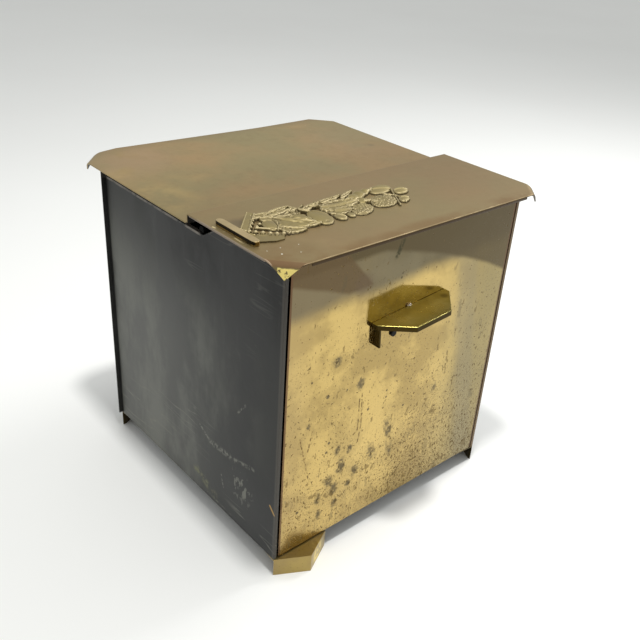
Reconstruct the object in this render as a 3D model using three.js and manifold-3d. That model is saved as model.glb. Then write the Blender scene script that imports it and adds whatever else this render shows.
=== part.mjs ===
// A brass and sheet-iron coal scuttle of the tilt-front kind: a fixed carcass with a rear deck,
// and a coal bin whose brass front and front top swing forward together on a rod at the bottom.
// Millimetres. X runs to the right along the front, Y to the back, Z up, with the floor at zero.
import * as THREE from 'three';
import { mergeVertices } from 'three/addons/utils/BufferGeometryUtils.js';
import Module from 'manifold-3d';

const wasm = await Module();
wasm.setup();

// Driving dimensions. The shoulder is the turned-in top edge of a side panel behind the step, and
// its height is measured from the underside of the body. The deck rises above it, and the front top
// above that. In front of the step each side panel is taller and reaches up to the front top.

const bodyWidth = 350;
const bodyDepth = 353;
const shoulderHeight = 350.5;
const deckRise = 17;
const stepRise = 10.4;
const stepSetback = 139.5;
const footHeight = 24;

const sheet = 1.5;
const seatGap = 0.3;

const sideOverhang = 18;
const frontOverhang = 19;
const backOverhang = 26;
const cornerCut = 28;
const tabFold = 72;

const backPanelLip = 5;
const shoulderWidth = 5;
const notchLength = 1;
const shoulderSlope = 39.5;
const lidGap = 0.8;
const frontReturn = 4;
const rearFlange = 12;
const panFlange = 12;
const frontGap = 2.5;
const panelReturn = 10.5;

const panelFootGap = 1.5;
const hingeSetback = 6.2;
const hingeRise = 17;
const hingeRodRadius = 3;
const tiltLimit = 32;

const binBackGap = 6.5;
const binFloorRise = 5;
const binBackAngle = 42;
const hingeCoverRise = 25.5;
const hingeCoverDepth = 17;
const troughLip = 12;

const tieRodRadius = 4;
const railGap = 44;
const railFlange = 9;

const stopPinRadius = 4;
const stopPinLength = 4.5;
const stopInset = 22;
const stopRestAngle = 15;
const stopBlockWidth = 10;
const stopBlockLength = 24;

const knuckleInset = 60;
const knuckleWidth = 20;
const knuckleWall = 3.4;
const topAngleLeg = 12;

const handleLength = 113;
const handleProjection = 38;
const handleEnd = 8;
const handleThickness = 6.5;
const handleHeight = 276.5;
const handleOffset = 2;
const handleSkew = 4.5;
const legDepth = 8;
const legThickness = 2.5;
const legDrop = 24.5;
const legInset = 4;
const handleScrewDrop = 28;
const handleScrewSpacing = 44;
const screwRadius = 2;
const screwHeadRadius = 4;
const screwHeadHeight = 2.5;
const screwHeadOverlap = 1;
const backingWidth = 96;
const backingHeight = 22;

const garlandLength = 217;
const garlandWidth = 48;
const garlandThickness = 5;
const garlandSetback = 66;
const barSetback = 68;
const garlandStudPitch = 72;
const barLength = 67;
const barWidth = 12;
const barThickness = 5;
const barEdgeGap = 7;

const footLength = 78;
const footReach = 21;
const footTuck = 26;
const footSheet = 2;
const footScrewInset = 12;
const nutHeight = 3.2;

// How much longer a bent strip is along its edge than its sheet is thick: at the point of a foot,
// at the two ends of a foot, and at the bends of the trough.
const footPointRatio = 1.3;
const footEndRatio = 2.2;
const troughBendRatio = 0.7;

// The depth of the garland at its ends and at the crests of its lobes, as shares of half its width.
const garlandLobes = 7;
const garlandNeckRatio = 0.75;
const garlandCrestRatio = 1.25;
const garlandRightEndRatio = 0.55;

const circleSides = 20;

// Levels and places that follow from the sizes above.

const bodyBottom = footHeight;
const shoulderTop = bodyBottom + shoulderHeight;
const deckTop = shoulderTop + deckRise;
const deckUnderside = deckTop - sheet;
const frontTopTop = deckTop + stepRise;
const frontTopUnderside = frontTopTop - sheet;
const halfWidth = bodyWidth / 2;
const panelInside = halfWidth - sheet;
const topHalfWidth = halfWidth + sideOverhang;
const frontHalfWidth = halfWidth - frontReturn - frontGap;
const cheekOutside = frontHalfWidth - sheet;
const cheekInside = cheekOutside - sheet;
const backInside = bodyDepth - sheet;
const riserFront = stepSetback - sheet;
const notchFront = riserFront - notchLength;
const raisedTop = frontTopUnderside - lidGap;
const pivotZ = bodyBottom + hingeRise;
const binReach = backInside - binBackGap - hingeSetback;
const stopReach = binReach - stopInset;
const tieRodY = riserFront + seatGap + tieRodRadius;
const garlandLeft = -topHalfWidth + barEdgeGap + barWidth + seatGap;
const handleScrewZ = bodyBottom + handleHeight - handleScrewDrop;
const originY = (bodyDepth + backOverhang - handleProjection) / 2;

// Materials

const patinatedBrass = new THREE.MeshStandardMaterial({
  name: 'patinated_brass', color: 0x8f7a52, roughness: 0.42, metalness: 0.9 });
const polishedBrass = new THREE.MeshStandardMaterial({
  name: 'polished_brass', color: 0xb0985c, roughness: 0.28, metalness: 1 });
const castBrass = new THREE.MeshStandardMaterial({
  name: 'cast_brass', color: 0x8a7632, roughness: 0.35, metalness: 0.95 });
const blackIron = new THREE.MeshStandardMaterial({
  name: 'black_iron', color: 0x33342f, roughness: 0.6, metalness: 0.3 });
const steel = new THREE.MeshStandardMaterial({
  name: 'steel', color: 0x4a4742, roughness: 0.5, metalness: 0.9 });

// Shape helpers

function slab([x0, x1], [y0, y1], [z0, z1]) {
  const geometry = new THREE.BoxGeometry(x1 - x0, y1 - y0, z1 - z0);
  return geometry.translate((x0 + x1) / 2, (y0 + y1) / 2, (z0 + z1) / 2);
}

// The span between two distances from the middle plane, on the left (-1) or the right (1).
function across(side, inner, outer) {
  return side > 0 ? [inner, outer] : [-outer, -inner];
}

function planPlate(points, [z0, z1]) {
  const outline = new THREE.Shape(points.map(([x, y]) => new THREE.Vector2(x, y)));
  const geometry = new THREE.ExtrudeGeometry(outline, { depth: z1 - z0, bevelEnabled: false });
  return geometry.translate(0, 0, z0);
}

// An outline drawn in the YZ plane and drawn out along X.
function sideways(outline, [x0, x1]) {
  const options = { depth: x1 - x0, bevelEnabled: false, curveSegments: circleSides };
  const turn = new THREE.Matrix4().makeBasis(
    new THREE.Vector3(0, 1, 0), new THREE.Vector3(0, 0, 1), new THREE.Vector3(1, 0, 0));
  return new THREE.ExtrudeGeometry(outline, options).applyMatrix4(turn).translate(x0, 0, 0);
}

function polygon(points) {
  return new THREE.Shape(points.map(([a, b]) => new THREE.Vector2(a, b)));
}

// A round hole as a ring of points, each of them once.
function hole(a, b, radius) {
  const points = Array.from({ length: circleSides }, (_, step) => {
    const angle = -step / circleSides * Math.PI * 2;
    return new THREE.Vector2(a + radius * Math.cos(angle), b + radius * Math.sin(angle));
  });
  return new THREE.Path(points);
}

function rodAlongX(radius, [x0, x1], y, z) {
  const geometry = new THREE.CylinderGeometry(radius, radius, x1 - x0, circleSides);
  return geometry.rotateZ(Math.PI / 2).translate((x0 + x1) / 2, y, z);
}

function rodAlongZ(radius, [z0, z1], x, y) {
  const geometry = new THREE.CylinderGeometry(radius, radius, z1 - z0, circleSides);
  return geometry.rotateX(Math.PI / 2).translate(x, y, (z0 + z1) / 2);
}

function rodAlongY(radius, [y0, y1], x, z) {
  return new THREE.CylinderGeometry(radius, radius, y1 - y0, circleSides).translate(x, (y0 + y1) / 2, z);
}

function toSolid(geometry) {
  const corners = new THREE.BufferGeometry();
  const loose = geometry.index ? geometry.toNonIndexed() : geometry;
  corners.setAttribute('position', loose.getAttribute('position'));
  const merged = mergeVertices(corners, 1e-4);
  return new wasm.Manifold(new wasm.Mesh({
    numProp: 3,
    vertProperties: merged.getAttribute('position').array,
    triVerts: new Uint32Array(merged.index.array) }));
}

function fromSolid(solid) {
  const { vertProperties, triVerts } = solid.getMesh();
  const geometry = new THREE.BufferGeometry();
  geometry.setAttribute('position', new THREE.BufferAttribute(vertProperties, 3));
  geometry.setIndex(new THREE.BufferAttribute(triVerts, 1));
  return geometry;
}

function joined(...geometries) {
  return fromSolid(geometries.map(toSolid).reduce((whole, piece) => whole.add(piece)));
}

function pierced(geometry, ...tools) {
  return fromSolid(tools.map(toSolid).reduce((whole, tool) => whole.subtract(tool), toSolid(geometry)));
}

function piece(name, geometry, material) {
  const mesh = new THREE.Mesh(geometry, material);
  mesh.name = name;
  return mesh;
}

const sides = [['left', -1], ['right', 1]];
const carcass = new THREE.Group();
const bin = new THREE.Group();
const degrees = Math.PI / 180;

// Carcass: a folded base pan, two folded side panels and a flat back.

function basePan() {
  const [front, back] = [hingeSetback + hingeRodRadius * 2, backInside - sheet];
  const rise = [bodyBottom, bodyBottom + panFlange];
  return joined(
    slab([-panelInside, panelInside], [front, back], [bodyBottom, bodyBottom + sheet]),
    slab([-panelInside, -panelInside + sheet], [front, back], rise),
    slab([panelInside - sheet, panelInside], [front, back], rise),
    slab([-panelInside, panelInside], [back - sheet, back], rise));
}

// The top edge of a side panel clears the path of the step's lower edge when the bin swings.
function sidePanel(side) {
  const outline = polygon([
    [0, bodyBottom], [backInside, bodyBottom], [backInside, shoulderTop],
    [notchFront, shoulderTop], [notchFront - shoulderSlope, raisedTop], [0, raisedTop]]);
  const shoulder = across(side, halfWidth - shoulderWidth, halfWidth);
  return joined(
    sideways(outline, across(side, panelInside, halfWidth)),
    slab(shoulder, [notchFront, backInside], [shoulderTop - sheet, shoulderTop]),
    slab(shoulder, [0, notchFront - shoulderSlope], [raisedTop - sheet, raisedTop]),
    slab(across(side, halfWidth - frontReturn, halfWidth), [0, sheet], [bodyBottom, raisedTop]),
    slab(across(side, halfWidth - rearFlange, halfWidth),
      [backInside - sheet, backInside], [bodyBottom, shoulderTop]));
}

carcass.add(piece('base_pan', basePan(), blackIron));
for (const [name, side] of sides) {
  carcass.add(piece(`side_panel_${name}`, sidePanel(side), blackIron));
}
const backHalfWidth = halfWidth + backPanelLip;
carcass.add(piece('back_panel', slab(
  [-backHalfWidth, backHalfWidth], [backInside, bodyDepth], [bodyBottom, deckUnderside]), blackIron));

// Top sheets: a clipped corner whose triangle is folded down along the cut.

function cornerTab(x, y, top) {
  const half = cornerCut / Math.SQRT2;
  const outward = Math.atan2(Math.sign(y - stepSetback), Math.sign(x)) - Math.PI / 2;
  const middle = [x - Math.sign(x) * cornerCut / 2, y - Math.sign(y - stepSetback) * cornerCut / 2];
  const flap = planPlate([[-half, 0], [half, 0], [0, half]], [-sheet, 0]);
  return flap.rotateX(-tabFold * degrees).rotateZ(outward).translate(middle[0], middle[1], top);
}

// A rectangle whose two corners on the outer edge are cut off.
function clippedPlate(innerY, outerY, levels) {
  const inward = Math.sign(innerY - outerY) * cornerCut;
  return planPlate([
    [-topHalfWidth, innerY], [-topHalfWidth, outerY + inward], [-topHalfWidth + cornerCut, outerY],
    [topHalfWidth - cornerCut, outerY], [topHalfWidth, outerY + inward], [topHalfWidth, innerY]], levels);
}

function rearDeck() {
  const outerY = bodyDepth + backOverhang;
  return joined(
    clippedPlate(stepSetback + seatGap, outerY, [deckUnderside, deckTop]),
    cornerTab(-topHalfWidth, outerY, deckTop),
    cornerTab(topHalfWidth, outerY, deckTop));
}

// A channel on each shoulder that carries the deck, set in from the side.
function deckRail(side) {
  const outer = halfWidth;
  const web = halfWidth - railFlange;
  const run = [tieRodY + tieRodRadius + railGap, backInside - sheet];
  return joined(
    slab(across(side, web, outer), run, [shoulderTop, shoulderTop + sheet]),
    slab(across(side, web, web + sheet), run, [shoulderTop, deckUnderside]),
    slab(across(side, web, outer), run, [deckUnderside - sheet, deckUnderside]));
}

carcass.add(piece('rear_deck', rearDeck(), patinatedBrass));
for (const [name, side] of sides) {
  carcass.add(piece(`deck_rail_${name}`, deckRail(side), blackIron));
}

// The rod on the two shoulders that the closed bin leans against.

const tieRodZ = shoulderTop + tieRodRadius;
const tieRodHalf = halfWidth - sheet;
carcass.add(piece('tie_rod',
  rodAlongX(tieRodRadius, [-tieRodHalf, tieRodHalf], tieRodY, tieRodZ), steel));

// Hinge: a rod across the bottom front, held at each end in a plate on the side panel.

const hingeRodHalf = panelInside - seatGap;
const hingeHole = hingeRodRadius + seatGap;
carcass.add(piece('hinge_rod',
  rodAlongX(hingeRodRadius, [-hingeRodHalf, hingeRodHalf], hingeSetback, pivotZ), steel));

function hingePlate(side) {
  const reach = hingeRodRadius * 2 - seatGap;
  const [front, back] = [sheet + seatGap, hingeSetback + reach];
  const [low, high] = [pivotZ - reach - sheet, pivotZ + reach];
  const outline = polygon([[front, low], [back, low], [back, high], [front, high]]);
  outline.holes.push(hole(hingeSetback, pivotZ, hingeHole));
  return sideways(outline, across(side, frontHalfWidth + seatGap, panelInside));
}

// A block on the inside of each side panel that the stop pin meets at full tilt.
function stopBlock(side) {
  const block = slab(
    across(side, cheekOutside + frontGap, panelInside),
    [stopReach - stopBlockLength / 2, stopReach + stopBlockLength / 2],
    [-stopBlockWidth / 2, stopBlockWidth / 2]);
  const swing = Math.asin((stopPinRadius + seatGap + stopBlockWidth / 2) / stopReach);
  const angle = (stopRestAngle + tiltLimit) * degrees + swing;
  return block.rotateX(angle).translate(0, hingeSetback, pivotZ);
}

for (const [name, side] of sides) {
  carcass.add(piece(`hinge_plate_${name}`, hingePlate(side), blackIron));
  carcass.add(piece(`stop_block_${name}`, stopBlock(side), blackIron));
}

// Feet: a strip bent to a V under a flat plate that is tucked below the body.

function foot() {
  const tip = [footLength / 2, -footReach];
  const plate = planPlate(
    [[0, 0], tip, [footLength, 0], [footLength - footSheet, footTuck], [footSheet, footTuck]],
    [footHeight - footSheet, footHeight]);
  const end = footSheet * footEndRatio;
  const inner = [footLength / 2, -footReach + footSheet * footPointRatio];
  const strip = planPlate(
    [[0, 0], tip, [footLength, 0], [footLength - end, 0], inner, [end, 0]], [0, footHeight]);
  const screwHole = rodAlongZ(screwRadius + seatGap, [0, footHeight * 2], footLength / 2, footScrewInset);
  return pierced(joined(plate, strip), screwHole);
}

function footScrew() {
  const seat = footHeight - footSheet;
  const head = rodAlongZ(
    screwHeadRadius, [seat - screwHeadHeight, seat], footLength / 2, footScrewInset);
  const shank = rodAlongZ(
    screwRadius, [seat - screwHeadOverlap, footHeight], footLength / 2, footScrewInset);
  return joined(head, shank);
}

// Each foot starts at a corner of the body and points outward from one of its sides.
const feet = [
  ['front_left', -halfWidth, 0, 0],
  ['front_right', halfWidth, 0, 90],
  ['back_right', halfWidth, bodyDepth, 180],
  ['back_left', -halfWidth + footLength, bodyDepth, 180]];
for (const [name, x, y, turn] of feet) {
  const placed = new THREE.Group();
  placed.position.set(x, y, 0);
  placed.rotation.z = turn * degrees;
  placed.add(piece(`foot_${name}`, foot(), polishedBrass));
  placed.add(piece(`foot_screw_${name}`, footScrew(), steel));
  carcass.add(placed);
}

// Bin: the brass front with its edges turned back, and the front part of the top.

function frontPanel() {
  const height = [bodyBottom + panelFootGap, frontTopUnderside];
  const edge = [bodyBottom + hingeCoverRise, deckUnderside - sheet];
  const returns = sides.map(([, side]) => slab(
    across(side, cheekOutside, frontHalfWidth), [0, sheet + panelReturn], edge));
  const face = joined(slab([-frontHalfWidth, frontHalfWidth], [0, sheet], height), ...returns);
  return pierced(face, ...sides.map(([, side]) => screwClearance(side)));
}

function screwX(side) {
  return handleOffset + side * handleScrewSpacing / 2;
}

function screwClearance(side) {
  return rodAlongY(screwRadius + seatGap, [-sheet, sheet * 3], screwX(side), handleScrewZ);
}

const garlandMiddle = garlandLeft + garlandLength / 2;
const studPlaces = [-1, 0, 1].map((step) => garlandMiddle + step * garlandStudPitch);

function frontTop() {
  const plate = joined(
    clippedPlate(stepSetback, -frontOverhang, [frontTopUnderside, frontTopTop]),
    slab([-topHalfWidth, topHalfWidth], [riserFront, stepSetback], [deckUnderside, frontTopTop]),
    cornerTab(-topHalfWidth, -frontOverhang, frontTopTop),
    cornerTab(topHalfWidth, -frontOverhang, frontTopTop));
  return pierced(plate, ...studPlaces.map((x) => rodAlongZ(
    screwRadius + seatGap, [frontTopUnderside - sheet, frontTopTop + sheet], x, garlandSetback)));
}

function topAngle() {
  const run = [-cheekInside, cheekInside];
  return joined(
    slab(run, [sheet, sheet * 2], [frontTopUnderside - topAngleLeg, frontTopUnderside]),
    slab(run, [sheet, sheet + topAngleLeg], [frontTopUnderside - sheet, frontTopUnderside]));
}

// Cheeks: a tall front part under the top, then an arc about the hinge down to the floor.

function arcAngleAtHeight(z, radius) {
  return Math.asin((z - pivotZ) / radius);
}

function arcAngleAtDepth(y, radius) {
  return Math.acos((y - hingeSetback) / radius);
}

function cheek(side) {
  const floor = bodyBottom + binFloorRise;
  const outline = new THREE.Shape();
  outline.moveTo(sheet, floor);
  outline.lineTo(hingeSetback, floor);
  outline.absarc(hingeSetback, pivotZ, binReach,
    arcAngleAtHeight(floor, binReach), arcAngleAtDepth(riserFront, binReach), false);
  outline.lineTo(riserFront, frontTopUnderside);
  outline.lineTo(sheet, frontTopUnderside);
  outline.holes.push(hole(hingeSetback, pivotZ, hingeHole));
  return sideways(outline, across(side, cheekInside, cheekOutside));
}

// Trough: one sheet that covers the hinge rod, lies as the floor and curves up as the back.

function trough() {
  const floor = bodyBottom + binFloorRise;
  const cover = bodyBottom + hingeCoverRise;
  const slope = hingeCoverDepth + (hingeCoverRise - binFloorRise) / 2;
  const top = binBackAngle * degrees;
  const bend = sheet * troughBendRatio;
  const outline = new THREE.Shape();
  outline.moveTo(sheet, cover);
  outline.lineTo(hingeCoverDepth, cover);
  outline.lineTo(slope, floor);
  outline.absarc(hingeSetback, pivotZ, binReach, arcAngleAtHeight(floor, binReach), top, false);
  outline.absarc(hingeSetback, pivotZ, binReach - sheet,
    top, arcAngleAtHeight(floor + sheet, binReach - sheet), true);
  outline.lineTo(slope + bend, floor + sheet);
  outline.lineTo(hingeCoverDepth + bend, cover + sheet);
  outline.lineTo(sheet * 2, cover + sheet);
  outline.lineTo(sheet * 2, cover + troughLip);
  outline.lineTo(sheet, cover + troughLip);
  return sideways(outline, [-cheekInside, cheekInside]);
}

bin.add(piece('front_panel', frontPanel(), polishedBrass));
bin.add(piece('front_top', frontTop(), patinatedBrass));
bin.add(piece('top_angle', topAngle(), blackIron));
bin.add(piece('bin_trough', trough(), blackIron));

// Hinge knuckles on the front panel, and stop pins on the cheeks.

function knuckle(side) {
  const radius = hingeRodRadius + knuckleWall;
  const outline = new THREE.Shape();
  outline.moveTo(sheet, pivotZ - radius);
  outline.lineTo(hingeSetback, pivotZ - radius);
  outline.absarc(hingeSetback, pivotZ, radius, -Math.PI / 2, Math.PI / 2, false);
  outline.lineTo(sheet, pivotZ + radius);
  outline.holes.push(hole(hingeSetback, pivotZ, hingeHole));
  const middle = halfWidth - knuckleInset;
  return sideways(outline, across(side, middle - knuckleWidth / 2, middle + knuckleWidth / 2));
}

function stopPin(side) {
  const angle = stopRestAngle * degrees;
  return rodAlongX(stopPinRadius, across(side, cheekOutside, cheekOutside + stopPinLength),
    hingeSetback + stopReach * Math.cos(angle), pivotZ + stopReach * Math.sin(angle));
}

for (const [name, side] of sides) {
  bin.add(piece(`cheek_${name}`, cheek(side), blackIron));
  bin.add(piece(`hinge_knuckle_${name}`, knuckle(side), steel));
  bin.add(piece(`stop_pin_${name}`, stopPin(side), steel));
}

// Handle: a thick plate with bevelled ends on two short legs, a little askew on the front.

function handlePlate() {
  const half = handleLength / 2;
  const slant = handleProjection - handleEnd;
  return planPlate([
    [-half, 0], [-half, -handleEnd], [-half + slant, -handleProjection],
    [half - slant, -handleProjection], [half, -handleEnd], [half, 0]], [-handleThickness, 0]);
}

function handleLeg(side) {
  const outer = handleLength / 2 - legInset;
  return slab(across(side, outer - legThickness, outer), [-legDepth, 0],
    [-handleThickness - legDrop, -handleThickness]);
}

const handle = new THREE.Group();
handle.position.set(handleOffset, 0, bodyBottom + handleHeight);
handle.rotation.y = -handleSkew * degrees;
handle.add(piece('handle_plate', handlePlate(), castBrass));
for (const [name, side] of sides) {
  handle.add(piece(`handle_leg_${name}`, handleLeg(side), castBrass));
}
bin.add(handle);

function handleScrew(side) {
  const head = rodAlongY(screwHeadRadius, [-screwHeadHeight, 0], screwX(side), handleScrewZ);
  const shank = rodAlongY(screwRadius, [-screwHeadOverlap, sheet * 3], screwX(side), handleScrewZ);
  return joined(head, shank);
}

function backingPlate() {
  const plate = slab([handleOffset - backingWidth / 2, handleOffset + backingWidth / 2],
    [sheet, sheet * 2], [handleScrewZ - backingHeight / 2, handleScrewZ + backingHeight / 2]);
  return pierced(plate, ...sides.map(([, side]) => screwClearance(side)));
}

bin.add(piece('handle_backing_plate', backingPlate(), blackIron));
for (const [name, side] of sides) {
  bin.add(piece(`handle_screw_${name}`, handleScrew(side), steel));
}

// Garland: a cast relief and an end bar on the front top, held by studs and nuts.

function garlandOutline() {
  const half = garlandWidth / 2;
  const right = garlandLeft + garlandLength;
  const neck = half * garlandNeckRatio;
  const crest = half * garlandCrestRatio;
  const pitch = garlandLength / garlandLobes;
  const outline = new THREE.Shape();
  outline.moveTo(garlandLeft, garlandSetback - neck);
  for (let lobe = 0; lobe < garlandLobes; lobe += 1) {
    const start = garlandLeft + lobe * pitch;
    outline.quadraticCurveTo(start + pitch / 2, garlandSetback - crest,
      start + pitch, garlandSetback - neck);
  }
  outline.lineTo(right, garlandSetback + half * garlandRightEndRatio);
  for (let lobe = garlandLobes; lobe > 0; lobe -= 1) {
    const end = garlandLeft + lobe * pitch;
    outline.quadraticCurveTo(end - pitch / 2, garlandSetback + crest,
      end - pitch, garlandSetback + neck);
  }
  return outline;
}

function garlandCasting() {
  const options = { depth: garlandThickness, bevelEnabled: false, curveSegments: 6 };
  return new THREE.ExtrudeGeometry(garlandOutline(), options).translate(0, 0, frontTopTop);
}

function garlandBar() {
  const x0 = -topHalfWidth + barEdgeGap;
  const radius = barWidth / 2;
  const [front, back] = [barSetback - barLength / 2, barSetback + barLength / 2];
  const outline = new THREE.Shape();
  outline.absarc(x0 + radius, front + radius, radius, Math.PI, Math.PI * 2, false);
  outline.absarc(x0 + radius, back - radius, radius, 0, Math.PI, false);
  const options = { depth: barThickness, bevelEnabled: false, curveSegments: circleSides / 2 };
  return new THREE.ExtrudeGeometry(outline, options).translate(0, 0, frontTopTop);
}

function garlandNut(x) {
  const nut = new THREE.CylinderGeometry(screwHeadRadius, screwHeadRadius, nutHeight, 6);
  nut.rotateX(Math.PI / 2).translate(x, garlandSetback, frontTopUnderside - nutHeight / 2);
  return pierced(nut, rodAlongZ(screwRadius + seatGap,
    [frontTopUnderside - nutHeight * 2, frontTopUnderside + nutHeight], x, garlandSetback));
}

bin.add(piece('garland_bar', garlandBar(), castBrass));
bin.add(piece('garland_casting', garlandCasting(), castBrass));
studPlaces.forEach((x, index) => {
  const levels = [frontTopUnderside - screwRadius * 3, frontTopTop];
  bin.add(piece(`garland_stud_${index + 1}`, rodAlongZ(screwRadius, levels, x, garlandSetback), steel));
  bin.add(piece(`garland_nut_${index + 1}`, garlandNut(x), steel));
});

const group = new THREE.Group();
group.position.y = -originY;
group.add(carcass, bin);

export default group;
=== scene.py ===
# %% [markdown]
# # A coal scuttle of brass and black iron
# The real object is a box for coal that stands by the hearth. Its sides and back are sheet iron,
# painted black, and its front and top are sheet brass. The front is pulled forward by a small
# plate and tips the coal bin out on a rod at the bottom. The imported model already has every
# sheet, rod and screw in its true place, so this file keeps those places and makes the surfaces:
# rounded edges, soft bends, the cast garland and the old metal. Everything is in metres.

import math

import bmesh
import bpy
from mathutils import Matrix, Vector, noise


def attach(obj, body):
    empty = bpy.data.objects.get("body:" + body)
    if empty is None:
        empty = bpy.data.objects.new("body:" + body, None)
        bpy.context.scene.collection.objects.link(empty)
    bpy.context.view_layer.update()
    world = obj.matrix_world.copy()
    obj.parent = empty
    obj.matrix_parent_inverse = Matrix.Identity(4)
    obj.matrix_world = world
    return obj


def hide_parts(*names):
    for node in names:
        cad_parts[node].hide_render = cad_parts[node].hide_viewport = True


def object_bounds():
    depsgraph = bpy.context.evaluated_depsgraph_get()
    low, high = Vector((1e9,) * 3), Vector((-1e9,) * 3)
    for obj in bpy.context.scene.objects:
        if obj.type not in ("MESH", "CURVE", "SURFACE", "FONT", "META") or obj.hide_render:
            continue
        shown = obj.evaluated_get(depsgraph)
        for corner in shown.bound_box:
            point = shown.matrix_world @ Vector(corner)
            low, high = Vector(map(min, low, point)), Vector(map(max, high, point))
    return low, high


MM = 0.001
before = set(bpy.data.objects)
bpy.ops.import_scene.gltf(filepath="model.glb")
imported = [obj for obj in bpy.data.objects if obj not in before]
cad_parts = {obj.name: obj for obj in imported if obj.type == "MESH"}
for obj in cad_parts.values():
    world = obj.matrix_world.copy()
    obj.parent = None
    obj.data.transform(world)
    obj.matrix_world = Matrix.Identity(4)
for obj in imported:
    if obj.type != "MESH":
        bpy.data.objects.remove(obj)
cad_low, cad_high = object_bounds()
print("packed model:", len(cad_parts), "nodes, box", tuple(cad_low), tuple(cad_high))

# %% [markdown]
# ## Camera
# The photograph looks down on the front left corner. The camera's place was worked out from the
# corners of the box, so it is written here as a place, a heading, a tilt and a small roll, and one
# matrix turns it: first the roll about its own axis, then the tilt, then the heading.

# %% Place the camera
CAMERA_PLACE = (-0.5883, -0.6730, 0.7051)
HEADING, TILT, ROLL = math.radians(42.42), math.radians(29.29), math.radians(3.95)
FOCAL_SHARE = 791.2 / 640

camera_data = bpy.data.cameras.new("view")
camera_data.sensor_width = 36
camera_data.lens = FOCAL_SHARE * camera_data.sensor_width
camera = bpy.data.objects.new("view", camera_data)
camera.matrix_world = (
    Matrix.Translation(CAMERA_PLACE)
    @ Matrix.Rotation(-HEADING, 4, "Z")
    @ Matrix.Rotation(math.pi / 2 - TILT, 4, "X")
    @ Matrix.Rotation(ROLL, 4, "Z"))
bpy.context.collection.objects.link(camera)
bpy.context.scene.camera = camera
print("camera lens:", round(camera_data.lens, 1), "mm")

# %% [markdown]
# ## Shader sums
# The finishes below mix many masks, such as pits, scrapes and bare edges. Written as single nodes
# that is long and hard to read, so a small class wraps a socket and lets Python's own signs add
# the Math nodes. Any other node comes from one method, which sets it up and joins its sockets.


# %% Wrap a socket so that it can be used in sums
class Wire:
    def __init__(self, finish, socket):
        self.finish = finish
        self.socket = socket

    def sum(self, operation, *values):
        return self.finish.node(
            "ShaderNodeMath", {"operation": operation}, dict(enumerate(values)))

    def __add__(self, other):
        return self.sum("ADD", self, other)

    def __sub__(self, other):
        return self.sum("SUBTRACT", self, other)

    def __mul__(self, other):
        return self.sum("MULTIPLY", self, other)

    def __truediv__(self, other):
        return self.sum("DIVIDE", self, other)

    def __pow__(self, other):
        return self.sum("POWER", self, other)

    def __radd__(self, other):
        return self.sum("ADD", other, self)

    def __rsub__(self, other):
        return self.sum("SUBTRACT", other, self)

    def __rmul__(self, other):
        return self.sum("MULTIPLY", other, self)

    def least(self, other):
        return self.sum("MINIMUM", self, other)

    def most(self, other):
        return self.sum("MAXIMUM", self, other)

    def size(self):
        return self.sum("ABSOLUTE", self)


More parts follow.
